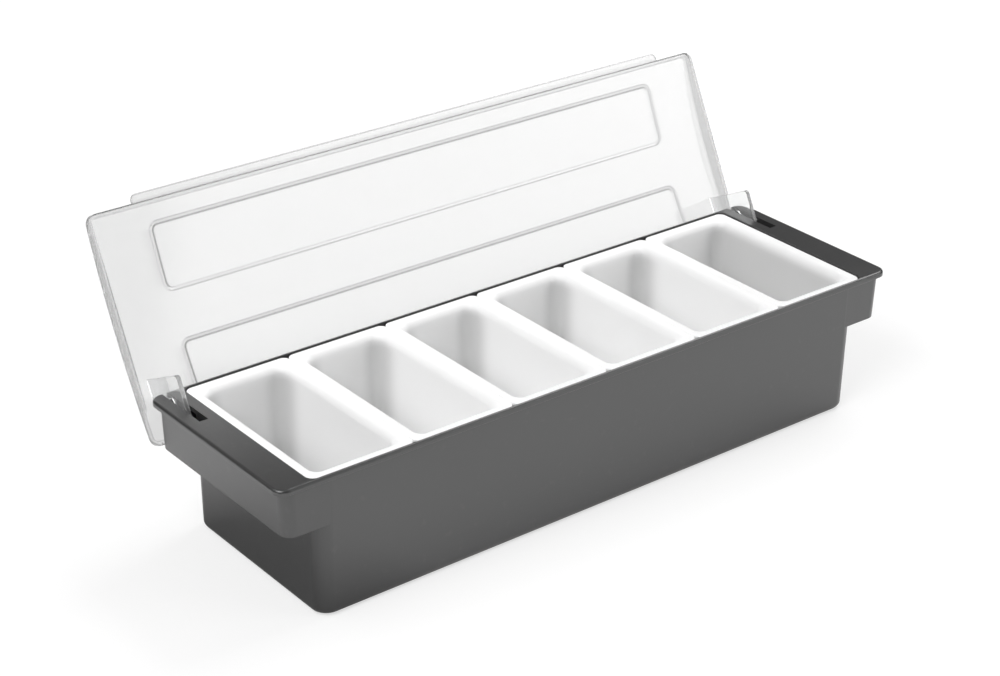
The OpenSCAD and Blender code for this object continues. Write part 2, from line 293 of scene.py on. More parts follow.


# clear plastic: the light of the lamps goes straight through it, and the "edge" attribute greys the rims
# and the walls of the raised panels as painted shade, colour = clear + (edge - clear) * attribute
def clearPlasticMaterial(name, look):
    material, tree, shader, output = newMaterial(name)
    _, rough = addSurface(tree, (-500, -200), look)
    edge = node(tree, "ShaderNodeAttribute", (-500, 200), attribute_name="edge")
    colour = mixColour(tree, (-200, 200), edge.outputs["Fac"], look["clear"], look["edge"])
    tree.links.new(colour.outputs["Result"], shader.inputs["Base Color"])
    tree.links.new(rough.outputs["Result"], shader.inputs["Roughness"])
    shader.inputs["Transmission Weight"].default_value = 1 - look["haze"]
    shader.inputs["IOR"].default_value = look["ior"]
    path = node(tree, "ShaderNodeLightPath", (300, 400))
    passed = (look["lampPass"],) * 3 + (1,)
    through = node(tree, "ShaderNodeBsdfTransparent", (300, -400), Color=passed)
    mix = node(tree, "ShaderNodeMixShader", (650, 0))
    tree.links.new(path.outputs["Is Shadow Ray"], mix.inputs[0])
    tree.links.new(shader.outputs[0], mix.inputs[1])
    tree.links.new(through.outputs[0], mix.inputs[2])
    tree.links.new(mix.outputs[0], output.inputs["Surface"])
    return material


lidPlastic = clearPlasticMaterial("lidPlastic", lidPlasticLook)
armPlastic = clearPlasticMaterial("armPlastic", armPlasticLook)

pinSteelLook = {
    "dark": (0.42, 0.42, 0.43), "light": (0.55, 0.55, 0.56), "smooth": 0.25, "rough": 0.4,
    "grainScale": 1200.0, "patchScale": 60.0,
}


# drawn steel: patches move its colour, and roughness follows the fine grain
def pinSteelMaterial(look):
    material, tree, shader, _ = newMaterial("pinSteel")
    surface, rough = addSurface(tree, (-500, 0), look, "Grain", 0, 1)
    colour = mixColour(tree, (-200, 200), surface.outputs["Patches"], look["dark"], look["light"])
    tree.links.new(colour.outputs["Result"], shader.inputs["Base Color"])
    tree.links.new(rough.outputs["Result"], shader.inputs["Roughness"])
    shader.inputs["Metallic"].default_value = 1
    return material


pinSteel = pinSteelMaterial(pinSteelLook)
print("materials ready")


unionDepth = 0.5         # how far joined solids run into each other
cutPast = 1              # how far a cut runs past a face
cutOver = 0.01           # how far two cuts that meet overlap

base = {
    "plateLength": 500.0, "plateWidth": 146.0, "height": 99.0, "lipHeight": 4.0, "plateCorner": 8.0,
    "lipRound": 2.0, "lipUnder": 0.5, "plateThickness": 3.0,
    "lipEnd": 4.2, "lipSide": 1.4, "wingOut": 23.6, "wingDrop": 34.5, "wingDraft": 1.2, "wingCorner": 8.0,
    "wingStep": 0.1, "wingEdge": 0.5, "hollowPast": 5.0, "hollowReach": 100.0,
    "wall": 2.2, "floor": 3.0, "tubCorner": 10.0, "footRound": 5.0, "sideDraft": 1.6, "endDraft": 0.6,
    "ledge": 3.0, "ledgeWidth": 4.9, "recessEnd": 23.0, "recessGap": 0.8, "recessRound": 0.35,
    "rimHeight": 3.0, "rimSink": 1.0, "rimCorner": 5.0, "rimWidth": 140.0,
    "slotWidth": 6.0, "slotFront": 27.548, "slotBack": 80, "slotFloor": 93.856, "armMiddle": 237.7,
    "ribThickness": 2.8, "ribGap": 0.8, "ribUnder": 1, "smoothTo": 32,
}


# the base: plate, hollow wings, tub and ribs are joined, then the inside, the seat, the recess and
# the slots are cut; each wall leans in by its draft times the share of the height below the top
def buildBase(s):
    height, wall = s["height"], s["wall"]
    wingLength = s["plateLength"] - 2 * s["lipEnd"]
    tubLength = wingLength - 2 * s["wingOut"]
    tubWidth = s["plateWidth"] - 2 * s["lipSide"]
    lipZ = height - s["lipHeight"]
    wingZ = height - s["wingDrop"]
    seatZ = height - s["rimSink"] - s["rimHeight"]
    ledgeZ = seatZ - s["ledge"]
    recessLength = s["plateLength"] - 2 * s["recessEnd"]
    recessWidth = s["rimWidth"] + 2 * s["recessGap"]
    sideIn = lambda z: s["sideDraft"] * (1 - z / height)
    endIn = lambda z: s["endDraft"] * (1 - z / height)
    wingIn = lambda z: s["wingDraft"] * (height - z) / s["wingDrop"]

    # the top plate with its rounded lip
    inward, down = quarterRound(s["lipRound"], roundSteps["lip"])
    under, up = quarterRound(s["lipUnder"], roundSteps["small"])
    drop = np.concatenate([under[::-1], inward])
    z = np.concatenate([lipZ + up[::-1], height - down])
    plate = loftSolid("baseTub", roundedRings(
        s["plateLength"] / 2 - drop, s["plateWidth"] / 2 - drop, s["plateCorner"] - drop, z))

    # the wings as one block, then the hollow under each of them
    def wingRings(inset, z, edge=0.0):
        cut = inset + edge
        return roundedRings(wingLength / 2 - wingIn(z) - cut,
                            tubWidth / 2 - sideIn(z) - s["wingStep"] - cut, s["wingCorner"] - cut, z)

    under, up = quarterRound(s["wingEdge"], roundSteps["small"])
    z = np.concatenate([wingZ + up[::-1], [lipZ + unionDepth]])
    wings = loftSolid("wings", wingRings(0, z, np.concatenate([under[::-1], [0]])))
    carve(plate, [wings], "UNION")
    ceiling = height - s["plateThickness"]
    riser = recessLength / 2 + wall
    hollow = loftSolid("hollow", wingRings(wall, np.array([wingZ - s["hollowPast"], ceiling])))
    reach = s["hollowReach"]
    middle = boxSolid("middle", (-riser, -reach, ledgeZ), (riser, reach, height))
    carve(hollow, [middle], "DIFFERENCE")
    carve(plate, [hollow], "DIFFERENCE")

    # the tub: rounded foot and leaning walls, outside and inside
    def tubRings(inset, foot, z0, z1):
        inward, down = quarterRound(foot, roundSteps["bottom"])
        z = np.concatenate([z0 + down[::-1], [z1]])
        cut = inset + np.concatenate([inward[::-1], [0]])
        return roundedRings(tubLength / 2 - endIn(z) - cut, tubWidth / 2 - sideIn(z) - cut,
                            s["tubCorner"] - inset, z)

    carve(plate, [loftSolid("tub", tubRings(0, s["footRound"], 0, lipZ + unionDepth))], "UNION")

    # ribs that hold the hinge pins, left and right
    ribY, ribZ = hingeAxis[0] - arm["eye"], hingeAxis[1] - arm["eye"] - s["ribUnder"]
    ribInner = s["armMiddle"] - arm["thickness"] / 2 - s["ribGap"] - s["ribThickness"]
    ribOuter = s["armMiddle"] + arm["thickness"] / 2 + s["ribGap"]
    for side in (-1, 1):
        for x0, x1 in ((ribInner, ribInner + s["ribThickness"]), (ribOuter, wingLength / 2)):
            low, high = sorted((side * x0, side * x1))
            rib = boxSolid("rib", (low, ribY, ribZ), (high, tubWidth / 2, ceiling + unionDepth))
            trim = loftSolid("trim", wingRings(unionDepth, np.array([wingZ, height + cutPast])))
            carve(plate, [carve(rib, [trim], "INTERSECT")], "UNION")

    # the inside, the seat ledge, the recess for the rims and the slots for the arms
    inside = tubRings(wall, s["footRound"] - wall, s["floor"], ledgeZ + cutOver)
    carve(plate, [loftSolid("inside", inside)], "DIFFERENCE")
    ledgeHalf = recessWidth / 2 - s["ledgeWidth"]
    ledgeHole = roundedRings(tubLength / 2 - wall, ledgeHalf, s["tubCorner"] - wall,
                             [ledgeZ - cutPast, seatZ + cutPast])
    carve(plate, [loftSolid("ledgeHole", ledgeHole)], "DIFFERENCE")
    t = np.linspace(0, math.pi / 2, roundSteps["recess"] + 1)
    wide = s["recessRound"] * np.concatenate([[0], 1 - np.cos(t), [1]])
    z = np.concatenate([[seatZ], height - s["recessRound"] * (1 - np.sin(t)), [height + cutPast]])
    recess = roundedRings(recessLength / 2 + wide, recessWidth / 2 + wide,
                          s["rimCorner"] + s["recessGap"] + wide, z)
    carve(plate, [loftSolid("recess", recess)], "DIFFERENCE")
    for side in (-1, 1):
        middle, half = side * s["armMiddle"], s["slotWidth"] / 2
        slot = boxSolid("slot", (middle - half, s["slotFront"], s["slotFloor"]),
                        (middle + half, s["slotBack"], height + cutPast))
        carve(plate, [slot], "DIFFERENCE")
    return finishPiece(plate, s["smoothTo"], basePlastic)


# the lid has its own frame: x along it, c from the pivot edge to the grip, w up from its rim
lid = {
    "length": 499.0, "width": 149.0, "thickness": 2.2, "corner": 6.0, "drop": 38.0, "edge": 3.0,
    "rise": 4.8, "edgeRound": 1.5, "innerRound": 0.8, "openAt": 244.5,
    "gripOut": 5.5, "gripThickness": 2.0, "gripIn": 32.2, "gripCorner": 4.0,
    "gripRound": 0.5, "gripBorder": 0.7, "gripBlock": 10,
    "panelIn": 42.5, "panelWidth": 43.0, "panelEdge": 15.0, "panelRise": 0.8, "panelCorner": 5.0,
    "panelSlope": 2.4, "lean": 26.7, "clear": 0.4, "gap": 0.3, "swingClear": 0.3, "archFade": 1.5,
    "backEdge": 0.02, "smoothTo": 35,
    "grid": {
        "stepX": 12.0, "stepC": 2.0, "panelReachX": 5.0, "panelReachC": 3.6, "fineX": 0.45, "fineC": 0.4,
        "cornerIn": 1.5, "fold": (-0.1, 0.3, 0.7, 1.1), "closest": 0.04,
    },
    # strengths and widths of the painted shade drawn by the "edge" attribute
    "marks": {
        "line": 0.45, "outer": 0.40, "outerEnd": 0.25, "inner": 0.15, "innerEnd": 0.85, "innerGrip": 0.55,
        "innerWide": 1.35, "innerIn": 0.1, "rim": 0.45, "rimWide": 1.6, "fold": 0.5, "foldIn": 0.5,
        "foldWide": 0.35, "border": 0.5, "borderWide": 1.0, "borderFrom": 0.2, "slopeStep": 0.05,
    },
}

# where the open lid stands: the point at w = edge on its pivot edge clears the back wall by clear;
# the hinge is the one point that stays in place as the open lid turns down to lie gap above the plate
lidMiddle = lid["width"] / 2 - lid["drop"]
lean = math.radians(lid["lean"])
openZ = base["height"]
rearZ = openZ - lid["drop"] * math.cos(lean) - lid["edge"] * math.sin(lean)
backWall = base["plateWidth"] / 2 - base["lipSide"] - base["sideDraft"] * (1 - rearZ / openZ)
openY = backWall + lid["clear"] + lid["drop"] * math.sin(lean) - lid["edge"] * math.cos(lean)
swing = 2 + 2 * math.sin(lean)
hingeC = ((1 + math.sin(lean)) * (lidMiddle - openY) + math.cos(lean) * lid["gap"]) / swing
hingeW = (math.cos(lean) * (lidMiddle - openY) - (1 + math.sin(lean)) * lid["gap"]) / swing
hingeAxis = (lidMiddle - hingeC, openZ + lid["gap"] + hingeW)
swingRadius = math.hypot(base["plateWidth"] / 2 - hingeAxis[0], openZ - hingeAxis[1]) + lid["swingClear"]
domeRadius = ((lid["width"] / 2) ** 2 + lid["rise"] ** 2) / (2 * lid["rise"])


# from the lid's frame to the open lid: x' = -x, y = y0 + c sin a + w cos a, z = h + c cos a - w sin a
def toOpenLid(points):
    x, c, w = np.moveaxis(np.asarray(points, float), -1, 0)
    return np.stack([-x, openY + c * math.sin(lean) + w * math.cos(lean),
                     openZ + c * math.cos(lean) - w * math.sin(lean)], -1)


# height of the dome's inside, grown by t: w = top - R + sqrt((R + t)^2 - (c - middle)^2)
def domeHeight(c, t=0.0):
    top = lid["edge"] + lid["rise"]
    return top - domeRadius + np.sqrt((domeRadius + t) ** 2 - (c - lidMiddle) ** 2)


# signed distance to a rounded rectangle, negative inside: |max(q, 0)| + min(max(qx, qy), 0) - r
def roundedDistance(x, y, a, b, r):
    qx, qy = np.abs(x) - (a - r), np.abs(y) - (b - r)
    return np.hypot(np.maximum(qx, 0), np.maximum(qy, 0)) + np.minimum(np.maximum(qx, qy), 0) - r


# distance to the nearer of the two panels
def panelDistance(x, c):
    s = lid
    a, b = s["length"] / 2 - s["panelIn"], s["panelWidth"] / 2
    offset = s["width"] / 2 - s["panelEdge"] - b
    near = roundedDistance(x, c - lidMiddle - offset, a, b, s["panelCorner"])
    far = roundedDistance(x, c - lidMiddle + offset, a, b, s["panelCorner"])
    return np.minimum(near, far)


# raised panels: a smooth step of the panel's height over its sloping wall
def panelHeight(x, c):
    t = np.clip(0.5 - panelDistance(x, c) / lid["panelSlope"], 0, 1)
    return lid["panelRise"] * t * t * (3 - 2 * t)


# painted shade along the crests of the panel's wall, drawn as lines: strength * exp(-((d - place) / width)
# ^ 2);
# the outer one is nearly even, and the inner one is painted strong at the +x end and towards the grip,
# where the gradient n of the distance points
def panelShadeLines(x, c):
    m = lid["marks"]
    d = panelDistance(x, c)
    step, half, wide = m["slopeStep"], lid["panelSlope"] / 2, m["line"]
    nx = (panelDistance(x + step, c) - panelDistance(x - step, c)) / (2 * step)
    nc = (panelDistance(x, c + step) - panelDistance(x, c - step)) / (2 * step)
    outer = np.exp(-((d - half) / wide) ** 2) * (m["outer"] + m["outerEnd"] * np.maximum(-nx, 0))
    facing = m["inner"] + m["innerEnd"] * np.maximum(nx, 0) + m["innerGrip"] * np.maximum(nc, 0)
    inner = np.exp(-((d + half - m["innerIn"]) / (m["innerWide"] * wide)) ** 2) * facing
    return np.maximum(outer, inner)


# grid lines from -half to half: even steps, close ones round each of the marked places, and the
# given distances in from both ends
def spacedLines(half, step, marks, reach, fine, edgeSteps):
    lines = list(np.arange(-half, half, step)) + [half]
    for mark in marks:
        lines += list(np.arange(mark - reach, mark + reach + fine / 2, fine))
    lines += list(half - edgeSteps) + list(edgeSteps - half)
    lines = np.unique(np.round(lines, 3))
    lines = lines[np.abs(lines) <= half]
    keep = np.concatenate([[True], np.diff(lines) > lid["grid"]["closest"]])
    lines = lines[keep]
    lines[-1] = half
    return lines


# the lid: an outer and an inner sheet, each a rounded rectangle under the dome with its edge
# rolled down, joined along their borders by a rim
def buildLid(s):
    g = s["grid"]
    halfX, halfC = s["length"] / 2, s["width"] / 2
    panelEnd = halfX - s["panelIn"]
    offset = halfC - s["panelEdge"] - s["panelWidth"] / 2
    edges = [sign * offset + side * s["panelWidth"] / 2 for sign in (-1, 1) for side in (-1, 1)]
    roll = s["edgeRound"] * (1 - np.cos(np.linspace(0, math.pi / 2, roundSteps["roll"] + 1)))
    corner = s["corner"] * (1 - np.sin(np.linspace(0, math.pi / 2, roundSteps["lidCorner"] + 1)))
    fold = s["thickness"] + np.array(g["fold"])
    ends = (-panelEnd + g["cornerIn"], panelEnd - g["cornerIn"])
    xLines = spacedLines(halfX, g["stepX"], ends, g["panelReachX"], g["fineX"],
                         np.concatenate([roll, corner, fold]))
    cLines = spacedLines(halfC, g["stepC"], edges, g["panelReachC"], g["fineC"],
                         np.concatenate([roll, fold]))

    # plan position on the grid: at each x the lines close up so that their ends follow the corner
    def sheet(inset, level, turn):
        a, b, r = halfX - inset, halfC - inset, s["corner"] - inset
        x = xLines * (a / halfX)
        past = np.clip(np.abs(x) - (a - r), 0, r)
        reach = b - r + np.sqrt(r * r - past * past)
        c = lidMiddle + reach[:, None] * (cLines / halfC)[None, :]
        x = np.repeat(x[:, None], len(cLines), 1)
        d = np.clip(-roundedDistance(x, c - lidMiddle, a, b, r), 0, turn)
        fall = turn - np.sqrt(turn ** 2 - (turn - d) ** 2)
        w = domeHeight(c, level) + panelHeight(x, c) - fall
        return np.stack([x, c, w], 2)

    outer = sheet(0.0, s["thickness"], s["edgeRound"])
    inner = sheet(s["thickness"], 0.0, s["innerRound"])
    nx, nc = outer.shape[:2]
    i, j = np.arange(nx), np.arange(nc)
    loop = np.concatenate([i * nc, (nx - 1) * nc + j[1:], (i[::-1] * nc + nc - 1)[1:], j[::-1][1:-1]])

    # lower end of the rim: the rim is cut away along the back and in an arch round the hinge axis
    rim = outer.reshape(-1, 3)[loop]
    x, c = rim[:, 0], rim[:, 1]
    arch = hingeW + np.sqrt(np.clip(swingRadius ** 2 - (c - hingeC) ** 2, 0, None))
    arch = np.where(np.abs(c - hingeC) < swingRadius, arch, 0)
    top = inner.reshape(-1, 3)[loop][:, 2] - s["backEdge"]
    atBack = np.clip((s["openAt"] - np.abs(x)) / s["archFade"] + 0.5, 0, 1) * (c < lidMiddle - halfC + 1)
    low = np.minimum(np.maximum(np.maximum(arch, 0), top * atBack), top)
    lowOuter = np.stack([x, c, low], 1)
    innerRim = inner.reshape(-1, 3)[loop]
    lowInner = np.stack([innerRim[:, 0], innerRim[:, 1], low], 1)

    size = nx * nc
    grid = gridFaces(nx, nc, False)
    points = np.concatenate([outer.reshape(-1, 3), inner.reshape(-1, 3), lowOuter, lowInner])
    n = len(loop)
    following = np.roll(np.arange(n), -1)
    k = np.arange(n)

    # quads between two loops of point numbers
    def strip(first, second):
        return np.stack([first[k], first[following], second[following], second[k]], 1)

    outerLoop, innerLoop = loop, loop + size
    lowOuterLoop, lowInnerLoop = 2 * size + k, 2 * size + n + k
    # the outer sheet faces up and the inner sheet down, and the strips close the rim
    faces = np.concatenate([grid[:, ::-1], grid + size, strip(outerLoop, lowOuterLoop)[:, ::-1],
                            strip(lowOuterLoop, lowInnerLoop)[:, ::-1],
                            strip(lowInnerLoop, innerLoop)[:, ::-1]])
    return newPiece("lidShell", toOpenLid(points), faces.tolist())


# the grip: a flat strip with rounded edges, less a block that ends in the middle of the lid's front
# wall, to be joined into the shell
def buildGrip(s):
    halfLength = s["length"] / 2 - s["gripIn"]
    deep = s["gripCorner"] + s["thickness"]
    middle = lidMiddle + s["width"] / 2 + s["gripOut"] - deep
    inward, down = quarterRound(s["gripRound"], roundSteps["small"])
    border = s["gripRound"] + s["gripBorder"]
    z = np.concatenate([[0], down[::-1], s["gripThickness"] - down, [s["gripThickness"]]])
    cut = np.concatenate([[border], inward[::-1], inward, [border]])
    rings = roundedRings(halfLength - cut, deep - cut, s["gripCorner"] - cut, z)
    rings[:, :, 1] += middle
    grip = loftSolid("grip", toOpenLid(rings))
    block = s["gripBlock"]
    inside = roundedRings(s["length"] / 2, block, 1, np.array([-cutPast, s["gripThickness"] + cutPast]))
    inside[:, :, 1] += lidMiddle + (s["width"] - s["thickness"]) / 2 - block
    return carve(grip, [loftSolid("gripInside", toOpenLid(inside))], "DIFFERENCE")


arm = {
    "thickness": 3.0, "band": 13.5, "rear": 28.0, "reach": 35.5, "corner": 3.0, "eye": 5.5,
    "bore": 2.06, "edgeRound": 0.5, "glueGap": 0.05, "legIn": 0.25, "smoothTo": 35,
}


# points of an arc, in degrees: middle + r (cos t, sin t)
def arc(middle, r, start, end, steps=roundSteps["arc"]):
    t = np.radians(np.linspace(start, end, steps + 1))
    return np.stack([middle[0] + r * np.cos(t), middle[1] + r * np.sin(t)], 1)


# outline in the (c, w) plane: a bar from the lid, a leg, and a strap back to the eye
def armOutline(s):
    back = s["rear"] - lid["drop"]
    front = back + s["band"]
    leg = s["band"] / 2
    innerW = s["band"] - s["reach"]
    top = np.linspace(back, front, roundSteps["barTop"] + 1)
    return np.concatenate([
        np.stack([top, domeHeight(top, -s["glueGap"])], 1),
        arc((front - s["corner"], s["corner"] - s["reach"]), s["corner"], 0, -90),
        arc((hingeC + s["eye"] * s["legIn"], leg - s["reach"]), leg, -90, -180),
        arc((hingeC, hingeW), s["eye"], 180, 0, roundSteps["eye"]),
        [[hingeC + s["eye"], innerW]],
        arc((back - s["corner"], innerW + s["corner"]), s["corner"], -90, 0),
    ])


# an outline that runs anticlockwise, drawn in by d along n = (-dy, dx) of its own direction, and
# by d / cos of half the turn at a corner, at most 2 d
def drawnIn(outline, d):
    ahead, behind = np.roll(outline, -1, 0) - outline, outline - np.roll(outline, 1, 0)
    ahead /= np.linalg.norm(ahead, axis=1)[:, None]
    behind /= np.linalg.norm(behind, axis=1)[:, None]
    tangent = ahead + behind
    tangent /= np.linalg.norm(tangent, axis=1)[:, None]
    stretch = 1 / np.clip((tangent * ahead).sum(1), 0.5, 1)
    normal = np.stack([-tangent[:, 1], tangent[:, 0]], 1)
    return outline + normal * (d * stretch)[:, None]


# an arm: its outline carried across its thickness with rounded edges, and a bore for the pin,
# (c, w) = hinge + bore (cos t, sin t); the edge attribute, painted shade, is 1 on the faces round the
# outline and 0 on the flat sides
def buildArm(side, s):
    outline = armOutline(s)[::-1]
    middle = side * base["armMiddle"]
    inward, down = quarterRound(s["edgeRound"], roundSteps["small"])
    cut = np.concatenate([inward[::-1], inward])
    x = np.concatenate([-s["thickness"] / 2 + down[::-1], s["thickness"] / 2 - down])
    rings = np.stack([np.column_stack([np.full(len(outline), xi - middle), drawnIn(outline, d)])
                      for xi, d in zip(x, cut)])
    piece = loftSolid("hingeArm" + ("Right" if side > 0 else "Left"), toOpenLid(rings))
    circle = arc((hingeC, hingeW), s["bore"], 0, 360, roundSteps["bore"])[:-1]
    ends = s["thickness"] / 2 + cutPast
    bore = np.stack([np.column_stack([np.full(len(circle), xi - middle), circle])
                     for xi in (-ends, ends)])
    carve(piece, [loftSolid("bore", toOpenLid(bore))], "DIFFERENCE")
    across = np.abs(vertexPoints(piece)[:, 0] - middle)
    writeAttribute(piece, "edge", (s["thickness"] / 2 - across) / s["edgeRound"])
    return finishPiece(piece, s["smoothTo"], armPlastic)


insert = {
    "count": 6, "rimWidth": 140.0, "rimHeight": 3.0, "rimCorner": 5.0, "rimGap": 0.3, "seam": 0.05,
    "side": 8.3, "end": 8.0, "mouth": 4.0, "mouthDepth": 5.5, "mouthTighter": 8.0, "height": 80.0,
    "wall": 1.6, "cavityCorner": 8.5, "draft": 2.8, "bottom": 6.0, "rimRound": 0.35, "underRim": 0.6,
    "top": 98.0, "stops": (2, 4, 6, 8, 11, 14, 17), "wallRows": (3, 24, 8), "smoothTo": 40,
    # painted shade on the insert walls and back corners: strengths, reach and fade
    "paintedShade": {"side": 0.15, "outer": 0.85, "corner": 0.85, "across": 11, "along": 15, "fade": 7.0},
}
recessLength = base["plateLength"] - 2 * base["recessEnd"]
insertPitch = (recessLength - 2 * base["recessGap"] + insert["rimGap"]) / insert["count"]


# one closed surface: up the outside, round the rim, through the mouth and down the inside, as
# rounded rectangles that lean in by k = draft (1 - z / height); through the mouth they grow by
# mouth (1 - cos t) while their corners tighten
def buildInsert(number, s):
    rimLength = insertPitch - s["seam"]
    cavityX, cavityY = (insertPitch - s["rimGap"]) / 2 - s["side"], s["rimWidth"] / 2 - s["end"]

    # the cavity's outline, grown
    def wallRings(grow, z, tighter=0.0):
        z = np.asarray(z, float)
        k = s["draft"] * (1 - z / s["height"])
        corner = s["cavityCorner"] - k + grow - tighter
        return roundedRings(cavityX - k + grow, cavityY - k + grow, corner, z, stops=s["stops"])

    # the rim's outline, drawn in
    def rimRings(inset, z):
        a, b = rimLength / 2 - inset, s["rimWidth"] / 2 - inset
        return roundedRings(a, b, s["rimCorner"] - inset, z, stops=s["stops"])

    outerIn, outerDown = quarterRound(s["bottom"] + s["wall"], roundSteps["bottom"])
    innerIn, innerDown = quarterRound(s["bottom"], roundSteps["bottom"])
    edgeIn, edgeDown = quarterRound(s["rimRound"], roundSteps["small"])
    mouthTurn = np.linspace(math.pi / 2, 0, roundSteps["mouth"] + 1)
    mouthOut = 1 - np.cos(mouthTurn)
    mouthZ = s["height"] - s["mouthDepth"] * (1 - np.sin(mouthTurn))
    underRim = s["height"] - s["rimHeight"]
    rings = np.concatenate([
        wallRings(s["wall"] - outerIn[::-1], outerDown[::-1]),
        wallRings(s["wall"], [underRim - s["underRim"]]),
        wallRings(s["wall"] + s["underRim"], [underRim]),
        rimRings(edgeIn[::-1], underRim + edgeDown[::-1]),
        rimRings(edgeIn, s["height"] - edgeDown),
        wallRings(s["mouth"] * mouthOut, mouthZ, s["mouthTighter"] * mouthOut),
        wallRings(0, s["height"] - s["mouthDepth"] - np.linspace(*s["wallRows"])),
        wallRings(-innerIn, s["wall"] + innerDown),
    ])
    rings[:, :, 0] += (number - (s["count"] + 1) / 2) * insertPitch
    rings[:, :, 2] += s["top"] - s["height"]
    piece = finishPiece(loftSolid("insertShell%d" % number, rings), s["smoothTo"], insertPlastic)
    markPaintedShade(piece, number, cavityX, cavityY)
    return piece


# the painted shade attribute: painted shade on the walls, high on a wall that has the dark tub behind it,
# 0 where another insert is behind it and above the walls; it is the greatest of three parts: the front and
# back walls, the outer wall of the first and last insert, and the back corners between inserts, painted
# darker there as shade, exp(-(across / a) ^ 2 - (along / b) ^ 3)
def markPaintedShade(piece, number, halfX, halfY):
    s, b = insert, insert["paintedShade"]
    p = vertexPoints(piece)
    x = p[:, 0] - (number - (s["count"] + 1) / 2) * insertPitch
    z = p[:, 2] - s["top"] + s["height"]
    outer = {1: -1, s["count"]: 1}.get(number, 0)
    depth = s["draft"] * (1 - z / s["height"])
    nearSide = np.clip(1 - (halfY - depth - np.abs(p[:, 1])) / s["cavityCorner"], 0, 1) * b["side"]
    nearEnd = np.clip(1 - (halfX - depth - outer * x) / s["cavityCorner"], 0, 1) * abs(outer) * b["outer"]
    across, along = halfX - depth - np.abs(x), np.maximum(halfY - depth - p[:, 1], 0)
    corner = np.exp(-(across / b["across"]) ** 2 - (along / b["along"]) ** 3) * b["corner"]
    wall = np.clip((s["height"] - s["mouth"] / 2 - z) / b["fade"], 0, 1)
    writeAttribute(piece, "paintedShade", np.maximum.reduce([nearSide, nearEnd, corner]) * wall)


baseTub = buildBase(base)
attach(baseTub, "base")
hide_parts("base_tub")
print("base built:", len(baseTub.data.polygons), "faces")


# the edge attribute, painted shade: the greatest of the panel lines, the rounded rim, the fold inside it
# and the border of the grip, each by its distance d or g from that outline
def markLidShade(piece, s):
    m = s["marks"]
    p = vertexPoints(piece)
    y, z = p[:, 1] - openY, p[:, 2] - openZ
    x, c = -p[:, 0], y * math.sin(lean) + z * math.cos(lean)
    d = -roundedDistance(x, c - lidMiddle, s["length"] / 2, s["width"] / 2, s["corner"])
    rim = np.clip(1 - np.abs(d) / m["rimWide"], 0, 1) * m["rim"]
    fold = np.exp(-((d - s["thickness"] - m["foldIn"]) / m["foldWide"]) ** 2) * m["fold"]
    deep = s["gripCorner"] + s["thickness"]
    gripMiddle = lidMiddle + s["width"] / 2 + s["gripOut"] - deep
    g = -roundedDistance(x, c - gripMiddle, s["length"] / 2 - s["gripIn"], deep, s["gripCorner"])
    border = np.clip(1 - g / m["borderWide"], 0, 1) * (d < -m["borderFrom"]) * m["border"]
    writeAttribute(piece, "edge", np.maximum.reduce([panelShadeLines(x, c), rim, fold, border]))


lidShell = buildLid(lid)
carve(lidShell, [buildGrip(lid)], "UNION")
finishPiece(lidShell, lid["smoothTo"], lidPlastic)
markLidShade(lidShell, lid)
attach(lidShell, "lid")
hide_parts("lid")
print("lid built:", len(lidShell.data.polygons), "faces")

for side, nodeName in ((-1, "hinge_arm_left"), (1, "hinge_arm_right")):
    armPiece = buildArm(side, arm)
    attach(armPiece, "lid")
    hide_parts(nodeName)
for nodeName in ("hinge_pin_left", "hinge_pin_right"):
    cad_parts[nodeName].data.materials.clear()
    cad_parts[nodeName].data.materials.append(pinSteel)
for number in range(1, insert["count"] + 1):
    insertPiece = buildInsert(number, insert)
    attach(insertPiece, "insert_%d" % number)
    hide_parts("insert_%d" % number)
print("arms and inserts built")


stage = {
    "floorSize": 6000.0, "floorColour": (0.8, 0.8, 0.8), "mirroredColour": (1.24, 1.24, 1.24),
    "shade": {"middle": (-222, 10, 0), "reach": (110, 170, 1), "from": 0.35, "colour": (0.45, 0.45, 0.45)},
    "white": 1.23, "farWhite": 2.1, "whiteFrom": 0.3, "whiteTo": 2.2,
    "whiteShares": {"Is Camera Ray": 0.5, "Is Transmission Ray": 0.85},
}


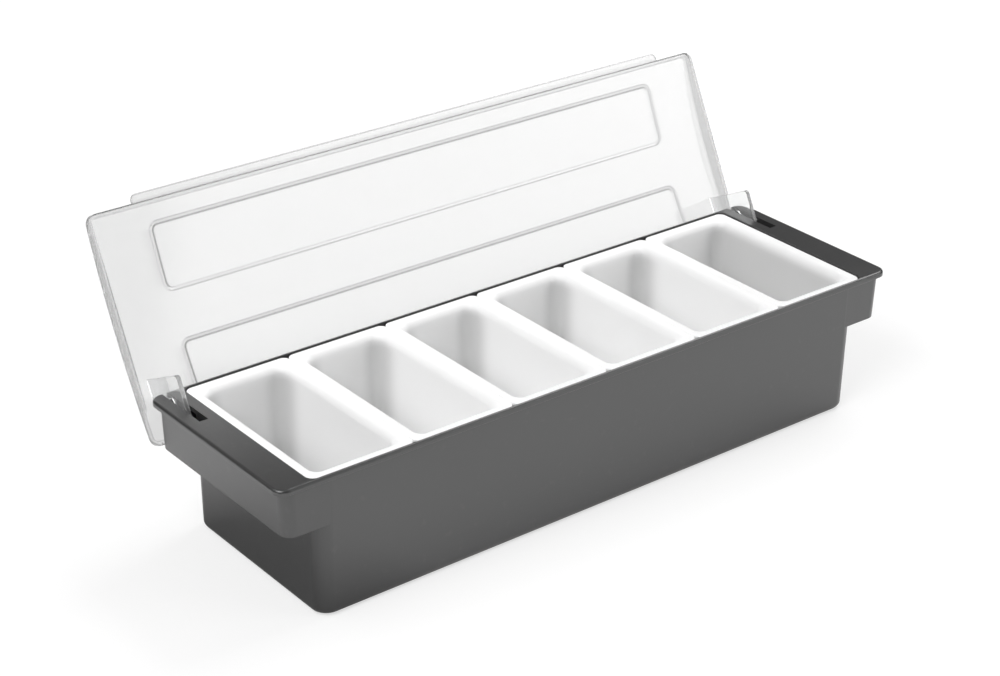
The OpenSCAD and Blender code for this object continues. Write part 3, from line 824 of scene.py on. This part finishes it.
# paper floor: it scatters light as paper, it is brighter in reflections except in a soft shade round
# the left end, colour = shade + (mirrored - shade) of |(p - middle) / reach|, and camera and
# transmission rays see mostly white
def floorMaterial(s):
    material, tree, shader, output = newMaterial("floorPaper")
    shader.inputs["Roughness"].default_value = 1.0
    shader.inputs["Specular IOR Level"].default_value = 0.0
    path = node(tree, "ShaderNodeLightPath", (-500, 300))
    paper = mixColour(tree, (100, 0), path.outputs["Is Glossy Ray"], s["floorColour"], s["mirroredColour"])
    tree.links.new(paper.outputs["Result"], shader.inputs["Base Color"])
    shade = s["shade"]
    offset = node(tree, "ShaderNodeVectorMath", (-500, -500), operation="MULTIPLY_ADD")
    offset.inputs[1].default_value = [1 / (reach * mm) for reach in shade["reach"]]
    offset.inputs[2].default_value = [-a / reach for a, reach in zip(shade["middle"], shade["reach"])]
    distance = node(tree, "ShaderNodeVectorMath", (-350, -500), operation="LENGTH")
    lit = mapValue(tree, (-200, -500), distance.outputs["Value"], 0, 1, shade["from"], 1)
    mirrored = mixColour(tree, (-50, -400), lit.outputs["Result"], shade["colour"], s["mirroredColour"])
    tree.links.new(mirrored.outputs["Result"], paper.inputs["B"])
    place = node(tree, "ShaderNodeTexCoord", (-500, -200))
    reach = node(tree, "ShaderNodeVectorMath", (-300, -200), operation="LENGTH")
    far = mapValue(tree, (0, -200), reach.outputs["Value"], s["white"], s["farWhite"],
                   s["whiteFrom"], s["whiteTo"])
    white = node(tree, "ShaderNodeEmission", (300, -200), Color=(1, 1, 1, 1))
    mix = node(tree, "ShaderNodeMixShader", (650, 0))
    link = tree.links.new
    link(place.outputs["Object"], reach.inputs[0])
    link(place.outputs["Object"], offset.inputs[0])
    link(offset.outputs["Vector"], distance.inputs[0])
    link(far.outputs["Result"], white.inputs["Strength"])
    total = None
    for k, (ray, share) in enumerate(s["whiteShares"].items()):
        part = node(tree, "ShaderNodeMath", (-300 + 150 * k, 300), operation="MULTIPLY_ADD")
        part.inputs[1].default_value = share
        part.inputs[2].default_value = 0
        link(path.outputs[ray], part.inputs[0])
        if total:
            link(total, part.inputs[2])
        total = part.outputs[0]
    link(total, mix.inputs[0])
    link(shader.outputs[0], mix.inputs[1])
    link(white.outputs[0], mix.inputs[2])
    link(mix.outputs[0], output.inputs["Surface"])
    return material


half = stage["floorSize"] / 2
floor = newPiece("floorSheet", [[-half, -half, 0], [half, -half, 0], [half, half, 0], [-half, half, 0]],
                 [[0, 1, 2, 3]], floorMaterial(stage))


# the room: dim walls and a brighter ceiling, strength = low + (high - low) of the height of view;
# the camera sees it white, directly and through clear plastic, and the clear plastic is brighter
# where it is mirrored: + mirrored * transmission ray * (glossy depth > 0)
def buildRoom(s):
    world = bpy.data.worlds.new("studio")
    world.use_nodes = True
    tree = world.node_tree
    background = tree.nodes["Background"]
    background.inputs["Color"].default_value = (1, 1, 1, 1)
    place = node(tree, "ShaderNodeTexCoord", (-900, 0))
    parts = node(tree, "ShaderNodeSeparateXYZ", (-700, 0))
    tree.links.new(place.outputs["Generated"], parts.inputs[0])
    ceiling = mapValue(tree, (-500, 0), parts.outputs["Z"], s["walls"], s["ceiling"], s["from"], s["to"])
    path = node(tree, "ShaderNodeLightPath", (-700, 300))
    seen = node(tree, "ShaderNodeMath", (-500, 300), operation="MAXIMUM")
    mix = node(tree, "ShaderNodeMix", (-250, 0))
    mix.inputs["B"].default_value = s["seen"]
    tree.links.new(path.outputs["Is Camera Ray"], seen.inputs[0])
    tree.links.new(path.outputs["Is Transmission Ray"], seen.inputs[1])
    tree.links.new(seen.outputs["Value"], mix.inputs["Factor"])
    tree.links.new(ceiling.outputs["Result"], mix.inputs["A"])
    glossy = node(tree, "ShaderNodeMath", (-500, 500), operation="MINIMUM")
    glossy.inputs[1].default_value = 1
    both = node(tree, "ShaderNodeMath", (-350, 500), operation="MULTIPLY")
    glow = node(tree, "ShaderNodeMath", (-100, 300), operation="MULTIPLY_ADD")
    glow.inputs[1].default_value = s["mirrored"]
    tree.links.new(path.outputs["Glossy Depth"], glossy.inputs[0])
    tree.links.new(glossy.outputs["Value"], both.inputs[0])
    tree.links.new(path.outputs["Is Transmission Ray"], both.inputs[1])
    tree.links.new(both.outputs["Value"], glow.inputs[0])
    tree.links.new(mix.outputs["Result"], glow.inputs[2])
    tree.links.new(glow.outputs["Value"], background.inputs["Strength"])
    bpy.context.scene.world = world


room = {"walls": 0.055, "ceiling": 0.35, "from": 0.45, "to": 0.85, "seen": 1.0, "mirrored": 1.1}
buildRoom(room)


# a softbox of the given size, aimed at a point
def softbox(name, place, aim, size, power):
    light = bpy.data.lights.new(name, "AREA")
    light.shape = "RECTANGLE"
    light.size, light.size_y = size[0] * mm, size[1] * mm
    light.energy = power
    lamp = bpy.data.objects.new(name, light)
    bpy.context.scene.collection.objects.link(lamp)
    lamp.location = Vector(place) * mm
    lamp.rotation_euler = (Vector(aim) - Vector(place)).to_track_quat("-Z", "Y").to_euler()
    lamp.visible_camera = False
    lamp.visible_transmission = False
    return lamp


softboxes = {
    "keyLeft": {"place": (-1100, -350, 1250), "aim": (0, 0, 60), "size": (900, 900), "power": 16},
    "backLeft": {"place": (-900, 600, 1200), "aim": (0, 0, 60), "size": (800, 800), "power": 2.5},
    "keyRight": {"place": (1000, 150, 1250), "aim": (0, 0, 60), "size": (900, 900), "power": 12},
    "frontRight": {"place": (1000, -1200, 620), "aim": (0, 0, 100), "size": (900, 700), "power": 6},
}
for name, s in softboxes.items():
    softbox(name, **s)

view = {
    "azimuth": -38.378, "elevation": 26.689, "roll": 0.527, "distance": 1465.6,
    "target": (-37.427, -5.9, 106.87), "focalPixels": 2295.122, "widthPixels": 1000, "sensor": 36,
    "farthest": 20,
}


# a camera at target + distance * back, with back = (sin a cos e, -cos a cos e, sin e), rolled
# about that direction; its focal length is given in pixels of the picture's width
def addCamera(s):
    a, e, r = (math.radians(s[k]) for k in ("azimuth", "elevation", "roll"))
    back = Vector((math.sin(a) * math.cos(e), -math.cos(a) * math.cos(e), math.sin(e)))
    right = Vector((math.cos(a), math.sin(a), 0))
    up = back.cross(right)
    rolledRight = right * math.cos(r) + up * math.sin(r)
    rolledUp = up * math.cos(r) - right * math.sin(r)
    camera = bpy.data.cameras.new("camera")
    camera.sensor_width = s["sensor"]
    camera.lens = s["focalPixels"] * s["sensor"] / s["widthPixels"]
    camera.clip_end = s["farthest"]
    cameraObject = bpy.data.objects.new("camera", camera)
    bpy.context.scene.collection.objects.link(cameraObject)
    turn = Matrix((rolledRight, rolledUp, back)).transposed().to_4x4()
    turn.translation = (Vector(s["target"]) + back * s["distance"]) * mm
    cameraObject.matrix_world = turn
    bpy.context.scene.camera = cameraObject


addCamera(view)
bpy.context.scene.view_settings.view_transform = "Standard"
print("stage ready")
